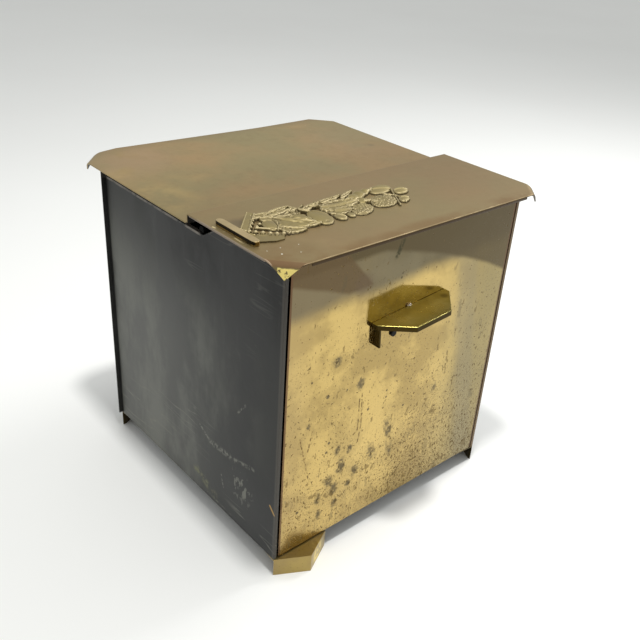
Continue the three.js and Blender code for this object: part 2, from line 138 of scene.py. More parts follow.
# %% Build a finish from nodes
class Finish:
    def __init__(self, name):
        self.material = bpy.data.materials.new(name)
        self.material.use_nodes = True
        self.tree = self.material.node_tree
        self.tree.nodes.clear()
        self.output = self.tree.nodes.new("ShaderNodeOutputMaterial")
        self.coordinates = self.node("ShaderNodeTexCoord", {}, {}, "Object")
        self.x, self.y, self.z = (
            self.node("ShaderNodeSeparateXYZ", {}, {0: self.coordinates}, axis) for axis in "XYZ")
        facing = self.node("ShaderNodeTexCoord", {}, {}, "Normal")
        self.rightward, self.backward, self.upward = (
            self.node("ShaderNodeSeparateXYZ", {}, {0: facing}, axis) for axis in "XYZ")

    def node(self, kind, settings, inputs, output=0):
        made = self.tree.nodes.new(kind)
        for key, value in settings.items():
            setattr(made, key, value)
        for key, value in inputs.items():
            if isinstance(value, Wire):
                self.tree.links.new(value.socket, made.inputs[key])
            else:
                made.inputs[key].default_value = value
        return Wire(self, made.outputs[output])

    def stretched(self, stretch, shift=(0, 0, 0)):
        return self.node("ShaderNodeMapping", {}, {
            "Vector": self.coordinates, "Location": shift, "Scale": stretch})

    def grain(self, scale, detail=2, roughness=0.5, stretch=(1, 1, 1), shift=(0, 0, 0)):
        return self.node("ShaderNodeTexNoise", {}, {
            "Vector": self.stretched(stretch, shift), "Scale": scale, "Detail": detail,
            "Roughness": roughness})

    def cells(self, scale, output, stretch=(1, 1, 1), shift=(0, 0, 0)):
        return self.node("ShaderNodeTexVoronoi", {}, {
            "Vector": self.stretched(stretch, shift), "Scale": scale}, output)

    def step(self, value, low, high):
        return self.node("ShaderNodeMapRange", {"interpolation_type": "SMOOTHSTEP"}, {
            0: value, 1: low, 2: high, 3: 0, 4: 1})

    def mix(self, mask, below, above):
        solid = [value if isinstance(value, Wire) else (*value, 1) for value in (below, above)]
        return self.node("ShaderNodeMix", {"data_type": "RGBA"}, {
            0: mask, 6: solid[0], 7: solid[1]}, 2)

    def shade(self, colour, amount):
        grey = self.node("ShaderNodeCombineColor", {}, {0: amount, 1: amount, 2: amount})
        return self.node("ShaderNodeMix", {"data_type": "RGBA", "blend_type": "MULTIPLY"}, {
            0: 1, 6: colour, 7: grey}, 2)

    def specks(self, scale, share, stretch=(1, 1, 1), shift=(0, 0, 0)):
        """Ragged marks: the peaks of a fine noise, more of them where the share is higher."""
        peaks = self.grain(scale, 3, 0.6, stretch, shift)
        return self.step(peaks + share * 0.14, 0.655, 0.70)

    def spots(self, scale, radius, share, stretch=(1, 1, 1), shift=(0, 0, 0)):
        """Round marks: one in each cell of a pattern, kept in a share of the cells."""
        distance = self.cells(scale, "Distance", stretch, shift)
        chance = self.node("ShaderNodeSeparateColor", {}, {
            0: self.cells(scale, "Color", stretch, shift)})
        return (1 - self.step(distance, radius * 0.5, radius)) * self.step(share - chance, 0, 0.02)

    def mark(self, at, radius, blur=0.5):
        """One round mark at a place, with a soft rim."""
        apart = self.node("ShaderNodeVectorMath", {"operation": "DISTANCE"}, {
            0: self.coordinates, 1: at}, 1)
        return 1 - self.step(apart, radius * (1 - blur), radius)

    def streak(self, start, end, width, blur=0.5):
        """One straight mark between two places."""
        run = Vector(end) - Vector(start)
        apart = self.node("ShaderNodeVectorMath", {"operation": "SUBTRACT"}, {
            0: self.coordinates, 1: start})
        share = self.node("ShaderNodeVectorMath", {"operation": "DOT_PRODUCT"}, {
            0: apart, 1: tuple(run / run.length_squared)}, 1)
        nearest = self.node("ShaderNodeVectorMath", {"operation": "SCALE"}, {
            0: tuple(run), "Scale": share.most(0).least(1)})
        distance = self.node("ShaderNodeVectorMath", {"operation": "DISTANCE"}, {
            0: apart, 1: nearest}, 1)
        return 1 - self.step(distance, width * (1 - blur), width)

    def bump(self, height, depth, below=None):
        inputs = {"Height": height, "Distance": depth, "Strength": 1}
        if below:
            inputs["Normal"] = below
        return self.node("ShaderNodeBump", {}, inputs)

    def surface(self, **sockets):
        named = {key.replace("_", " ").title().replace("Ior", "IOR"): value
                 for key, value in sockets.items()}
        shader = self.node("ShaderNodeBsdfPrincipled", {}, named)
        self.tree.links.new(shader.socket, self.output.inputs["Surface"])
        return self.material


print("shader helpers ready")

# %% [markdown]
# ## Floor and light
# The photograph has a pale sheet that blows out to white near the box and greys toward the back.
# One wide floor does for every view. A small soft lamp overhead whitens the near floor and draws
# the short shadows under the box, a wider one lights the right side, and an even pale sky fills
# the rest. The floor greys behind as the lamps fall off, so no backdrop has to be painted.

# %% Lay the floor
floor_finish = Finish("pale_floor")
floor_tone = floor_finish.mix(
    floor_finish.grain(1.3, 3), (0.88, 0.88, 0.865), (0.93, 0.935, 0.92))
floor_mesh = bmesh.new()
bmesh.ops.create_circle(floor_mesh, cap_ends=True, radius=14, segments=96)
bmesh.ops.translate(floor_mesh, vec=(0, 0, -0.1 * MM), verts=floor_mesh.verts)
floor_data = bpy.data.meshes.new("floor")
floor_mesh.to_mesh(floor_data)
floor_mesh.free()
floor = bpy.data.objects.new("floor", floor_data)
floor_data.materials.append(floor_finish.surface(
    base_color=floor_tone, roughness=0.75, specular_ior_level=0.2))
bpy.context.collection.objects.link(floor)
print("floor:", len(floor_data.vertices), "points")

# %% Hang the lights
scene = bpy.context.scene
scene.view_settings.view_transform = "Standard"
world = bpy.data.worlds.new("studio")
scene.world = world
world.use_nodes = True
sky = world.node_tree.nodes["Background"].inputs
sky["Color"].default_value = (0.94, 0.955, 0.94, 1)
sky["Strength"].default_value = 0.63


def soft_light(name, place, target, size, power, colour=(1, 1, 1)):
    data = bpy.data.lights.new(name, "AREA")
    data.shape = "DISK"
    data.size = size
    data.energy = power
    data.color = colour
    light = bpy.data.objects.new(name, data)
    light.location = place
    light.rotation_euler = (Vector(target) - Vector(place)).to_track_quat("-Z", "Y").to_euler()
    bpy.context.collection.objects.link(light)


soft_light("overhead", (-0.22, -0.30, 2.0), (-0.2, -0.25, 0), 0.16, 20, (1, 0.995, 0.975))
soft_light("right side", (1.5, -0.15, 1.6), (0.25, -0.1, 0), 0.8, 20)

# %% [markdown]
# ## Black iron
# The sides are sheet iron under a thin black paint that has gone dull. It is greyer low down,
# where dust and wear have settled, and a painted shade darkens it near the top of the front part,
# under the overhang of the lid. A dark satin base with a grey haze gives the sheen. The fine
# scratches are noise stretched until it makes lines, so that they lie in the paint itself and need
# no drawing. One function mixes the paint, because the pieces inside the box have it too, under a
# coat of coal dust and a deeper painted shade.

# %% Mix the black paint
SIDE = -0.175


def black_paint(name):
    paint = Finish(name)
    haze = paint.step(paint.grain(8, 5, 0.65, (1, 1, 0.5)), 0.42, 0.60)
    low = 1 - paint.step(paint.z, 0.03, 0.26)
    dusty = (1 - paint.step(paint.z + (paint.y - 0.08).most(0) * -0.3, 0.20, 0.37)) * paint.step(
        paint.y + haze * 0.05, -0.13, 0.10)
    rubbed = paint.mark((SIDE, -0.07, 0.065), 0.10, 1.0) * (0.25 + haze * 0.5)
    tone = paint.mix((dusty * (0.45 + haze * 0.45) + haze * 0.1).most(rubbed * 0.4),
                     (0.008, 0.0085, 0.008), (0.150, 0.152, 0.134))
    # Painted shade: the paint is darkened near the top of the front part, under the overhang of
    # the lid.
    shadowed = paint.step(paint.z, 0.27, 0.36) * paint.step(0.10 - paint.y, 0, 0.10)
    tone = paint.shade(tone, 1 - shadowed * 0.85)
    streaks = paint.grain(26, 5, 0.7, (1, 1, 0.12))
    tone = paint.mix(paint.step(streaks, 0.55, 0.75) * 0.4, tone, (0.055, 0.056, 0.050))
    hair = paint.grain(90, 2, 0.5, (1, 0.05, 0.6)) - 0.5
    patch = paint.step(paint.grain(9, 2, 0.5, shift=(4, 2, 7)), 0.5, 0.62)
    scratch = (1 - paint.step(hair.size(), 0.0, 0.012)) * patch * (0.25 + low * 0.75)
    tone = paint.mix(scratch * 0.75, tone, (0.19, 0.19, 0.155))
    chips = paint.spots(190, 0.20, 0.012) * paint.step(paint.grain(14, 2), 0.54, 0.6)
    tone = paint.mix(chips * (0.3 + low * 0.5), tone, (0.22, 0.20, 0.14))
    uneven = paint.bump(paint.grain(18, 4, 0.6), 0.35 * MM)
    return paint, tone, scratch + chips, uneven, haze


paint, paint_tone, paint_chips, paint_dents, paint_haze = black_paint("black_iron_paint")
print("black paint:", len(paint.tree.nodes), "nodes")

# %% [markdown]
# ## Scrapes and rubbed edges of the sides
# Pale scrapes lie low on the left side, with a smear near the floor, and the paint is rubbed off
# along the upper edges. Each scrape is a straight mark between two places, given by depth and
# height, and a noise tears its outline, which looks more like lost paint than a clean stroke.

# %% Scrape and smear the left side
SCRAPES = [
    ((-0.022, 0.125), (-0.044, 0.111), 3.0), ((-0.046, 0.113), (-0.090, 0.117), 6.0),
    ((-0.092, 0.118), (-0.128, 0.127), 4.0), ((-0.098, 0.187), (-0.112, 0.205), 2.0),
    ((-0.066, 0.078), (-0.070, 0.062), 2.0), ((-0.030, 0.030), (-0.088, 0.029), 1.6)]
ragged = paint.step(paint.grain(230, 4, 0.7), 0.46, 0.56)
scraped_patch = paint.mark((SIDE, -0.106, 0.085), 0.034, 0.8)
scraped = paint.specks(190, scraped_patch, (1, 1, 0.5)) * scraped_patch
for start, end, width in SCRAPES:
    scrape = paint.streak((SIDE, *start), (SIDE, *end), width * MM, 0.9)
    scraped = scraped.most(scrape * ragged)
paint_tone = paint.mix(scraped * 0.6, paint_tone, (0.22, 0.22, 0.18))
smeared = paint.streak((SIDE, -0.012, 0.050), (SIDE, -0.050, 0.036), 10 * MM, 0.9)
smeared = smeared * paint.step(paint.grain(110, 4, 0.7), 0.42, 0.6)
paint_tone = paint.mix(smeared * 0.8, paint_tone, (0.17, 0.17, 0.08))
nicked = paint.streak((SIDE, -0.160, 0.098), (SIDE, -0.168, 0.090), 1.8 * MM, 0.6)
paint_tone = paint.mix(nicked, paint_tone, (0.42, 0.24, 0.05))
print("scrapes on the side:", len(SCRAPES))

# %% Rub the edges and finish the black iron
upper_edge = paint.step(paint.z, 0.3712, 0.3722) * paint.step(paint.y, -0.030, -0.026)
from_slope = (paint.z - 0.3745 + (paint.y + 0.0335) * 0.635).size()
slope_edge = (1 - paint.step(from_slope, 0.0012, 0.0026)) * (
    1 - paint.step(paint.y, -0.034, -0.030))
rubbed_edge = upper_edge.most(slope_edge * 0.5) * paint.step(paint.grain(60, 3, 0.6), 0.3, 0.55)
paint_tone = paint.mix(rubbed_edge * 0.6, paint_tone, (0.30, 0.26, 0.22))
# Painted shade: the lip of the back beside each side is painted near black.
back_lip_shade = paint.step(paint.y, 0.1765, 0.1775)
paint_tone = paint.mix(back_lip_shade * 0.85, paint_tone, (0.006, 0.006, 0.006))
front_edge = 1 - paint.step(paint.y, -0.1682, -0.1655)
paint_tone = paint.mix(front_edge * 0.3, paint_tone, (0.14, 0.12, 0.095))
right_edge = front_edge * paint.step(paint.x, 0, 0.01)
paint_tone = paint.mix(right_edge * 0.85, paint_tone, (0.20, 0.13, 0.065))
black_iron = paint.surface(
    base_color=paint_tone, roughness=0.40 + paint_haze * 0.14, specular_ior_level=0.32,
    normal=paint.bump(paint_chips + scraped, 0.05 * MM, paint_dents))
# Inside the box the paint is darkened to near black: partly coal dust, partly painted shade.
inside, inside_tone, inside_chips, inside_dents, inside_haze = black_paint("coal_dust_and_shade_iron")
coal_and_shade_black = inside.surface(
    base_color=inside.shade(inside_tone, 0.22), roughness=0.75 + inside_haze * 0.1,
    specular_ior_level=0.12, normal=inside.bump(inside_chips, 0.05 * MM, inside_dents))
print("black iron:", black_iron.name, coal_and_shade_black.name)

# %% [markdown]
# ## The polished front
# The front is a mirror that has aged. It is clear near the top, where it shows the handle twice,
# and pitted toward the bottom, where damp coal dust lay. The upper part is hazed grey and brown,
# partly tarnish and partly painted reflection, under a dark arch of painted reflection, and its
# upper left is a painted shade. The middle is golden, with a painted pool of light, and the right
# side turns olive. All of that is mixed as colour over height and width, with a slow noise that
# makes the borders wander. A picture would do the same, but it would need a drawn map of the
# sheet.

# %% Find the regions of the front
front = Finish("front_brass")
wander = (front.grain(11, 3, 0.6) - 0.5) * 0.05
past = (front.x - 0.016).most(0)
# Painted reflection: a dark arch over the top of the mirror, laid in as colour.
arch = 0.376 - (front.x + 0.043).most(0) * 0.27 - past * past * 0.83 + wander * 0.15
arch_reflection = front.step(front.z - arch, -0.003, 0.004)
# The grey haze of the upper part is partly tarnish and partly painted reflection.
haze_line = 0.330 + (front.x + 0.10) * 0.07 + wander * 0.5
hazed_tarnish_and_reflection = front.step(front.z - haze_line, -0.012, 0.012)
# Painted shade: a brown region in the upper left of the front, under the lid.
left_line = front.z - (0.309 - front.x * 0.36).most(0.342) + wander * 0.1
left_end = 0 - (front.x + 0.058 + (front.z - 0.343) * 0.9)
left_shade = front.step(left_line, -0.003, 0.003) * front.step(left_end, -0.003, 0.003)
right = front.step(front.x + wander, 0.03, 0.15)
from_band = (front.x - 0.135 + (front.z - 0.10) * 0.18 + wander * 0.3).size()
band = 1 - front.step(from_band, 0.008, 0.026)
print("front regions:", len(front.tree.nodes), "nodes")

# %% Mix the tarnish and the painted reflection, shade and light of the front
FRONT = -0.1705


def on_front(x, z):
    return (x, FRONT, z)


clouds = front.grain(16, 4, 0.65)
gold = front.mix(front.step(clouds, 0.38, 0.60), (0.58, 0.42, 0.152), (0.385, 0.275, 0.102))
worn_band = front.step(front.z + wander * 0.5, 0.20, 0.30)
gold = front.mix(worn_band * 0.10, gold, (0.42, 0.305, 0.125))
# Painted light: a broad bright pool in the lower middle of the mirror.
painted_light_pool = front.mark(on_front(-0.06, 0.115), 0.10, 1.0)
gold = front.mix(painted_light_pool * 0.45, gold, (0.72, 0.53, 0.20))
left_dull = 1 - front.step(front.x + wander, -0.165, -0.105)
gold = front.mix(left_dull * 0.45, gold, (0.45, 0.33, 0.15))
tone = front.mix(right * 0.8, gold, (0.272, 0.224, 0.108))
tone = front.mix(band * 0.4, tone, (0.23, 0.20, 0.13))
haze_tone = front.mix(front.step(front.grain(9, 3, 0.6, shift=(3, 0, 1)), 0.4, 0.62),
                      (0.106, 0.089, 0.054), (0.142, 0.124, 0.082))
haze_tone = front.mix((1 - front.step(front.x, -0.13, 0.0)) * 0.7, haze_tone, (0.19, 0.152, 0.092))
# These three mixes lay in the haze, partly tarnish and partly painted reflection, the arch of
# painted reflection and the painted shade in the upper left.
tone = front.mix(hazed_tarnish_and_reflection * 0.92, tone, haze_tone)
tone = front.mix(arch_reflection * 0.9, tone, (0.088, 0.066, 0.033))
tone = front.mix(left_shade * 0.85, tone, (0.115, 0.078, 0.04))
print("front tarnish:", len(front.tree.nodes), "nodes")

# %% [markdown]
# ## Pits and stains of the front
# Damp has eaten small pits into the sheet, which crowd toward the bottom right, and has left dark
# stains and spots. Pits are the peaks of fine noises at three sizes, cut off lower where they
# should crowd, because thousands of them are too many to place. The larger stains and spots are
# placed one by one, in millimetres across and up the sheet, and a noise makes their rims ragged.

# %% Crowd the pits
low = 1 - front.step(front.z, 0.04, 0.26)
corner = front.step(front.x - front.z * 0.6, -0.10, 0.06) * low
crowd = 0.16 - front.step(front.z, 0.27, 0.32) * 0.25 + low * 0.30 + corner * 0.22
crowd = crowd + (front.grain(14, 3, 0.6) - 0.5)
pits = front.specks(300, crowd, (1, 1, 0.75))
fine_pits = front.specks(620, crowd * 1.1 + corner * 0.15, shift=(2, 0, 5))
long_pits = front.specks(150, crowd * 0.6, (1, 1, 0.45), (1, 0, 9))
pitted = pits.most(fine_pits * 0.6).most(long_pits * 0.7)
print("front pits:", len(front.tree.nodes), "nodes")

# %% Place the stains and spots
STAINS = [
    (-9, 146, 6), (-7, 134, 5), (-35, 116, 6), (0, 98, 5), (-82, 117, 5.5), (-60, 95, 5.5),
    (-100, 102, 5), (-90, 87, 4.5), (-87, 62, 4.5), (-114, 81, 5), (-112, 61, 4), (-135, 194, 2.4),
    (-70, 134, 3.5), (-88, 141, 4), (-33, 110, 6), (-62, 222, 5), (-100, 265, 5), (68, 164, 4),
    (-66, 84, 4)]
SPOTS = [
    (-110, 223, 3.2), (-46, 180, 2.4), (-103, 158, 2.6), (-106, 146, 2.4), (-18, 195, 1.8),
    (14, 161, 2.2), (-16, 339, 1.9), (-15, 344, 1.5), (-82, 221, 1.8), (-144, 78, 2.6),
    (-134, 250, 1.8), (-18, 186, 1.8)]
stained = front.specks(60, low * 0.1 - 0.05, (1, 1, 0.35), (7, 0, 3)) * 0.4
blotched = front.step(front.grain(170, 4, 0.7), 0.32, 0.54)
ragged_rim = (front.grain(55, 4, 0.7) - 0.5) * 3.2
for x, z, radius in STAINS:
    across, up = front.x - x * MM, (front.z - z * MM) * 0.65
    apart = (across * across + up * up) ** 0.5 / (radius * 1.3 * MM) + ragged_rim
    stained = stained.most((1 - front.step(apart, 0.3, 1.15)) * blotched)
for x, z, radius in SPOTS:
    stained = stained.most(front.mark(on_front(x * MM, z * MM), radius * MM, 0.5))
tone = front.mix(stained * 0.85, tone, (0.105, 0.085, 0.05))
tone = front.mix(pitted * 0.78, tone, (0.125, 0.08, 0.024))
print("front stains:", len(STAINS) + len(SPOTS))

# %% Smudge the top and score the middle
SCORES = [
    ((-0.058, 0.206), (-0.055, 0.163)), ((-0.061, 0.200), (-0.060, 0.157)),
    ((-0.055, 0.163), (-0.058, 0.139)), ((-0.060, 0.157), (-0.066, 0.153)),
    ((-0.129, 0.185), (-0.134, 0.160)), ((-0.146, 0.182), (-0.131, 0.122))]
smudge_path = (front.x + 0.0236 - (front.z - 0.3745) * 0.42).size()
smudge = (1 - front.step(smudge_path, 0.0016, 0.0046)) * (
    1 - front.step((front.z - 0.3745).size(), 0.007, 0.0125))
smudge = smudge * front.step(front.grain(300, 2), 0.30, 0.5)
tone = front.mix(smudge * 0.85, tone, (0.045, 0.042, 0.022))
thumbed = front.mark(on_front(-0.072, 0.347), 0.017, 0.6)
tone = front.mix(thumbed * 0.5, tone, (0.12, 0.085, 0.055))
rim = front.step(front.x.size() + wander * 0.01, 0.1657, 0.1667)
tone = front.mix(rim * 0.85, tone, (0.12, 0.065, 0.035))
broken = front.step(front.grain(260, 3), 0.36, 0.56)
for start, end in SCORES:
    scored = front.streak(on_front(*start), on_front(*end), 1.3 * MM, 0.5) * broken
    tone = front.mix(scored * 0.85, tone, (0.13, 0.08, 0.028))
print("front scores:", len(SCORES))

# %% Scratch the sheet and finish the front
scratch_line = (front.grain(60, 2, 0.5, (1, 1, 0.06)) - 0.5).size()
scratches = (1 - front.step(scratch_line, 0.0, 0.012)) * front.step(
    front.grain(10, 2, shift=(0, 0, 4)), 0.5, 0.62)
tone = front.mix(scratches * 0.35 * low, tone, (0.22, 0.16, 0.07))
wavy = front.bump(front.grain(7, 2, 0.4), 0.9 * MM)
eaten = front.bump(pitted + stained * 0.3 + scratches * 0.3, -0.10 * MM, wavy)
front_brass = front.surface(
    base_color=tone, metallic=1.0,
    roughness=0.08 + low * 0.16 + pitted * 0.3 + stained * 0.25 + clouds * 0.05, normal=eaten)
print("front brass:", len(front.tree.nodes), "nodes")

# %% [markdown]
# ## Brown brass of the top
# The top was never polished as often as the front. Its brass has gone a dull olive brown with
# warm patches, and the front part, which is handled, is browner still. It is a metal with a rough
# surface, so it takes soft light and no clear reflections. One function mixes the patina from
# three tones, and each sheet adds its own worn and stained places to it.

# %% Mix the brown brass
def brown_brass(name, olive, brown, lift):
    patina = Finish(name)
    patches = patina.step(patina.grain(6, 4, 0.55), 0.38, 0.64)
    warm = patina.step(patina.grain(9, 3, 0.6, shift=(5, 1, 0)), 0.52, 0.72)
    tone = patina.mix(patches, olive, brown)
    tone = patina.mix(warm * 0.45, tone, lift)
    mottled = patina.grain(70, 5, 0.7)
    tone = patina.mix(patina.step(mottled, 0.45, 0.75) * 0.22, tone, (0.20, 0.15, 0.08))
    flecks = patina.spots(120, 0.13, 0.05)
    tone = patina.mix(flecks * 0.5, tone, (0.62, 0.52, 0.32))
    rubbed = (patina.grain(46, 2, 0.5, (0.10, 1, 1)) - 0.5).size()
    hair = (1 - patina.step(rubbed, 0, 0.01)) * patina.step(patina.grain(7, 2), 0.5, 0.6)
    tone = patina.mix(hair * 0.2, tone, lift)
    dents = patina.bump(patina.grain(5, 2, 0.4), 1.2 * MM)
    return patina, tone, patina.bump(mottled, 0.05 * MM, dents), mottled


LID, DECK = 0.4019, 0.3915
print("the lid lies", round((LID - DECK) / MM, 1), "mm over the deck")

# %% Warm and dull the deck
deck, deck_tone, deck_bump, deck_mottled = brown_brass(
    "deck_brass", (0.325, 0.262, 0.124), (0.40, 0.272, 0.126), (0.50, 0.34, 0.145))
golden = deck.mark((-0.186, 0.040, DECK), 0.062, 0.9).most(
    deck.mark((-0.19, 0.115, DECK), 0.05, 0.9) * 0.6)
golden = golden * deck.step(deck.grain(16, 4, 0.6), 0.3, 0.6)
deck_tone = deck.mix(golden * 0.75, deck_tone, (0.62, 0.43, 0.17))
pink = deck.mark((-0.15, 0.165, DECK), 0.085, 0.9).most(
    deck.mark((0.15, 0.10, DECK), 0.10, 0.9) * 0.4)
pink = pink * deck.step(deck.grain(22, 4, 0.6), 0.3, 0.55)
deck_tone = deck.mix(pink * 0.6, deck_tone, (0.42, 0.29, 0.17))
dull_spot = deck.mark((0.160, 0.068, DECK), 0.008, 0.9)
deck_tone = deck.mix(dull_spot * 0.4, deck_tone, (0.20, 0.16, 0.09))
edge_dull = deck.step((deck.y - 0.05).size(), 0.135, 0.162)
deck_tone = deck.mix(edge_dull * 0.4, deck_tone, (0.24, 0.17, 0.09))
# The deck is darker toward the step, and darkened a little toward the right as painted shade.
near_step = 1 - deck.step(deck.y, 0.0, 0.13)
deck_tone = deck.shade(deck_tone, 1 - near_step * 0.16 - deck.step(deck.x, 0.05, 0.19) * 0.06)
# Painted shade: the front rim of the deck under the step is painted near black and less metallic.
under_step_shade = 1 - deck.step(deck.y, -0.0300, -0.0285)
deck_brass = deck.surface(
    base_color=deck.mix(under_step_shade, deck_tone, (0.02, 0.015, 0.01)),
    metallic=0.8 - under_step_shade * 0.6, roughness=0.42 + deck_mottled * 0.12, normal=deck_bump)
print("deck brass:", len(deck.tree.nodes), "nodes")

# %% [markdown]
# ## Wear, painted highlights and painted shade of the lid
# The bent corner at the left front is worn back to bright yellow metal below a dark crease, and a
# few white specks lie beside it. The front edge, the side edges, the fold of the corner and the
# ledge beside the end bar carry painted highlights. The face of the front edge, the right corner
# and the riser at the back are painted dark as shade, and the lid is darkened a little toward the
# right as painted shade. These are marks at their places and steps over height, so they sit on the
# bends without any unwrapping of the sheet.

# %% Brown and speck the lid
top, top_tone, top_bump, top_mottled = brown_brass(
    "front_top_brass", (0.275, 0.21, 0.098), (0.295, 0.203, 0.096), (0.37, 0.268, 0.124))
browned = top.mark((-0.172, -0.172, LID), 0.050, 0.9).most(
    1 - top.step(top.y + top.grain(25, 3) * 0.02, -0.176, -0.160))
browned = browned * top.step(top.grain(20, 4, 0.6), 0.3, 0.6)
top_tone = top.mix(browned * 0.85, top_tone, (0.225, 0.14, 0.055))
# Painted shade: the lid is darkened a little toward the right.
top_tone = top.shade(top_tone, 1 - top.step(top.x, -0.02, 0.19) * 0.14)
specks = top.mark((-0.1727, -0.1607, LID), 0.0011)
for place in ((-0.1552, -0.1668), (-0.1802, -0.148), (-0.146, -0.152), (-0.1655, -0.149)):
    specks = specks.most(top.mark((*place, LID), 0.0007))
top_tone = top.mix(specks, top_tone, (0.95, 0.92, 0.80))
shaded = top.mark((-0.1645, -0.0805, LID), 0.017, 0.8)
top_tone = top.mix(shaded * 0.6, top_tone, (0.13, 0.10, 0.06))
# Painted highlight: a bright streak on the lid's left edge beside the end bar.
ledge_highlight = top.streak((-0.1905, -0.0745, LID), (-0.1887, -0.090, LID), 1.3 * MM, 0.4).most(
    top.streak((-0.1883, -0.108, LID), (-0.1888, -0.126, LID), 1.1 * MM, 0.4))
ledge_highlight = ledge_highlight * top.step(top.grain(75, 3, 0.6), 0.44, 0.52)
top_tone = top.mix(ledge_highlight * 0.8, top_tone, (0.85, 0.70, 0.38))
print("lid brass, flat part:", len(top.tree.nodes), "nodes")

# %% Crease and bare the bent corner
past_fold = 0 - (top.x + top.y) - 0.3545
crease = top.step(past_fold + top.grain(50, 2) * 0.006, 0.000, 0.004)
top_tone = top.mix(crease * 0.75, top_tone, (0.13, 0.07, 0.03))
tab_dull = top.step(past_fold, 0.0085, 0.0105) * 0.8
top_tone = top.mix(tab_dull, top_tone, (0.15, 0.125, 0.05))
bare = (1 - top.step(top.z + top.grain(130, 2) * 0.003, 0.3988, 0.4002)) * top.step(
    past_fold, 0.0078, 0.0088)
bare = bare * top.step(top.x - top.y + top.grain(90, 2) * 0.006, -0.012, -0.010)
bare = bare * top.step(top.grain(230, 3, 0.6), 0.38, 0.46)
top_tone = top.mix(bare, top_tone, (0.80, 0.65, 0.20))
print("lid brass, corner:", len(top.tree.nodes), "nodes")

# %% Light the rims and finish the lid
top_edge = top.step(top.z, 0.4010, 0.4014)
# Painted highlight: a lighter line along the side edges of the lid.
side_rim_highlight = top.step(top.x.size(), 0.1923, 0.1927) * (1 - top.step(top.y, -0.060, -0.045))
top_tone = top.mix(side_rim_highlight * (1 - crease) * 0.7, top_tone, (0.36, 0.29, 0.23))
# Painted highlight: a bright line along the left edge of the bent corner.
fold_rim_highlight = (1 - top.step(top.x, -0.1922, -0.1915)) * crease
fold_rim_highlight = fold_rim_highlight * (1 - top.step(past_fold, 0.007, 0.010))
top_tone = top.mix(fold_rim_highlight * 0.35, top_tone, (0.70, 0.56, 0.42))
front_rim = 1 - top.step(top.y, -0.1892, -0.1887)
# Painted highlight along the top of the front edge.
lit_rim = front_rim * top_edge * (0.25 + top.step(top.grain(24, 3, 0.6), 0.42, 0.6) * 0.4)
top_tone = top.mix(lit_rim, top_tone, (0.80, 0.62, 0.36))
# Painted shade: the bent right corner is painted near black and less metallic.
right_tab_shade = top.step(top.x - top.y, 0.3565, 0.3585) * (1 - top.step(top.z, 0.3985, 0.4005))
top_tone = top.mix(right_tab_shade * 0.9, top_tone, (0.035, 0.022, 0.012))
# Painted shade: the face of the front edge, below its top, is painted dark brown.
top_tone = top.mix(front_rim * (1 - top_edge) * 0.85, top_tone, (0.07, 0.04, 0.012))
# Painted shade: the foot of the riser is painted near black and less metallic.
hidden_riser_shade = (1 - top.step(top.z, 0.3905, 0.3945)) * top.step(top.y, -0.036, -0.0335)
hidden_riser_shade = hidden_riser_shade * (1 - top.step(top.x.size(), 0.1925, 0.1928))
top_tone = top.mix(hidden_riser_shade, top_tone, (0.01, 0.008, 0.005))
top_brass = top.surface(
    base_color=top_tone, metallic=0.8 - hidden_riser_shade.most(right_tab_shade) * 0.7 - crease * 0.3,
    roughness=0.42 + top_mottled * 0.12 + crease * (1 - bare) * 0.3, normal=top_bump)

# %% Darken the underside with painted shade
# The underside brass is a darker copy of the lid's brass, as painted shade.
under, under_shade_tone, under_bump, under_mottled = brown_brass(
    "underside_shaded_brass", (0.20, 0.14, 0.065), (0.15, 0.10, 0.05), (0.24, 0.17, 0.08))
# Painted shade: the inner face of the riser is painted near black.
in_step_shade = under.step(under.y, -0.046, -0.038)
under_shaded_brass = under.surface(
    base_color=under.mix(in_step_shade, under_shade_tone, (0.008, 0.006, 0.004)),
    metallic=0.8 - in_step_shade * 0.7, roughness=0.5 + under_mottled * 0.12, normal=under_bump)
print("top brasses:", deck_brass.name, top_brass.name, under_shaded_brass.name)

# %% [markdown]
# ## Yellow brass of the handle and the feet
# These are thicker pieces in a greener, yellower brass, smooth and only a little dull. The upper
# face of the handle shines, and its sides and far rim are painted nearly black as shade, so its
# colour also asks which way a face points, which saves cutting the piece into two finishes. The
# three far feet are painted dark as shade.

# %% Mix the yellow brasses
def yellow_brass(name, clean, dull, rough):
    brass = Finish(name)
    cloud = brass.step(brass.grain(30, 4, 0.6), 0.35, 0.7)
    tone = brass.mix(cloud, clean, dull)
    speck = brass.spots(420, 0.3, 0.12)
    tone = brass.mix(speck * 0.5, tone, (0.10, 0.07, 0.02))
    dents = brass.bump(brass.grain(60, 3), 0.12 * MM)
    return brass, tone, brass.bump(speck, -0.05 * MM, dents), rough + cloud * 0.1


grip, grip_tone, grip_bump, grip_rough = yellow_brass(
    "handle_brass", (0.58, 0.49, 0.14), (0.48, 0.40, 0.11), 0.26)
shiny = grip.step(grip.grain(38, 3, 0.6, shift=(1, 4, 2)), 0.45, 0.7)
grip_tone = grip.mix(shiny * 0.5, grip_tone, (0.72, 0.64, 0.27))
soiled = grip.mark((0.046, -0.182, 0.304), 0.007, 0.8)
grip_tone = grip.mix(soiled * 0.6, grip_tone, (0.14, 0.10, 0.02))
# Painted shade: the sides and far rim of the handle plate are painted nearly black.
far_rim_shade = grip.step(grip.x, 0.018, 0.024) * (1 - grip.step(grip.upward, 0.90, 0.98))
grip_sides_shade = (1 - grip.step(grip.upward, 0.25, 0.5)).most(far_rim_shade * 0.75)
handle_brass = grip.surface(
    base_color=grip.mix(grip_sides_shade * 0.95, grip_tone, (0.04, 0.022, 0.005)), metallic=1.0,
    roughness=grip_rough + grip_sides_shade * 0.35, normal=grip_bump)

